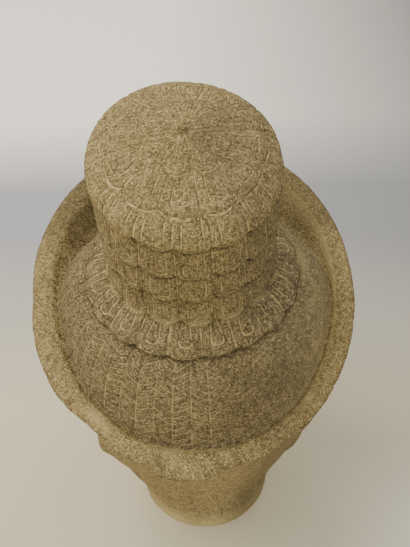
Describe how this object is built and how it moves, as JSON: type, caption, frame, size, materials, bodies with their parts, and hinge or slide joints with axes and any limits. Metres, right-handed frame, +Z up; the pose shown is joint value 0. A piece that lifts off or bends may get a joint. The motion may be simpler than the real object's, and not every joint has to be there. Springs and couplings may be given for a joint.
{
  "type": "stone buddha head",
  "caption": "Carved sandstone head, cut flat at the neck, with a flared diadem, braided hair dome and a cylindrical lotus-petal topknot.",
  "frame": {"origin": "on the flat cut under the neck, on the topknot's upright axis", "axes": "+Z up through the topknot, face towards -Y, the back of the head towards +Y"},
  "size_m": [0.1951, 0.2068, 0.3018],
  "materials": {
    "sandstone": "matt weathered brown-grey sandstone, ochre on the topknot and brim, pale grains and dark crevices"
  },
  "bodies": {
    "root": {"stone_head": "sandstone"}
  },
  "joints": []
}
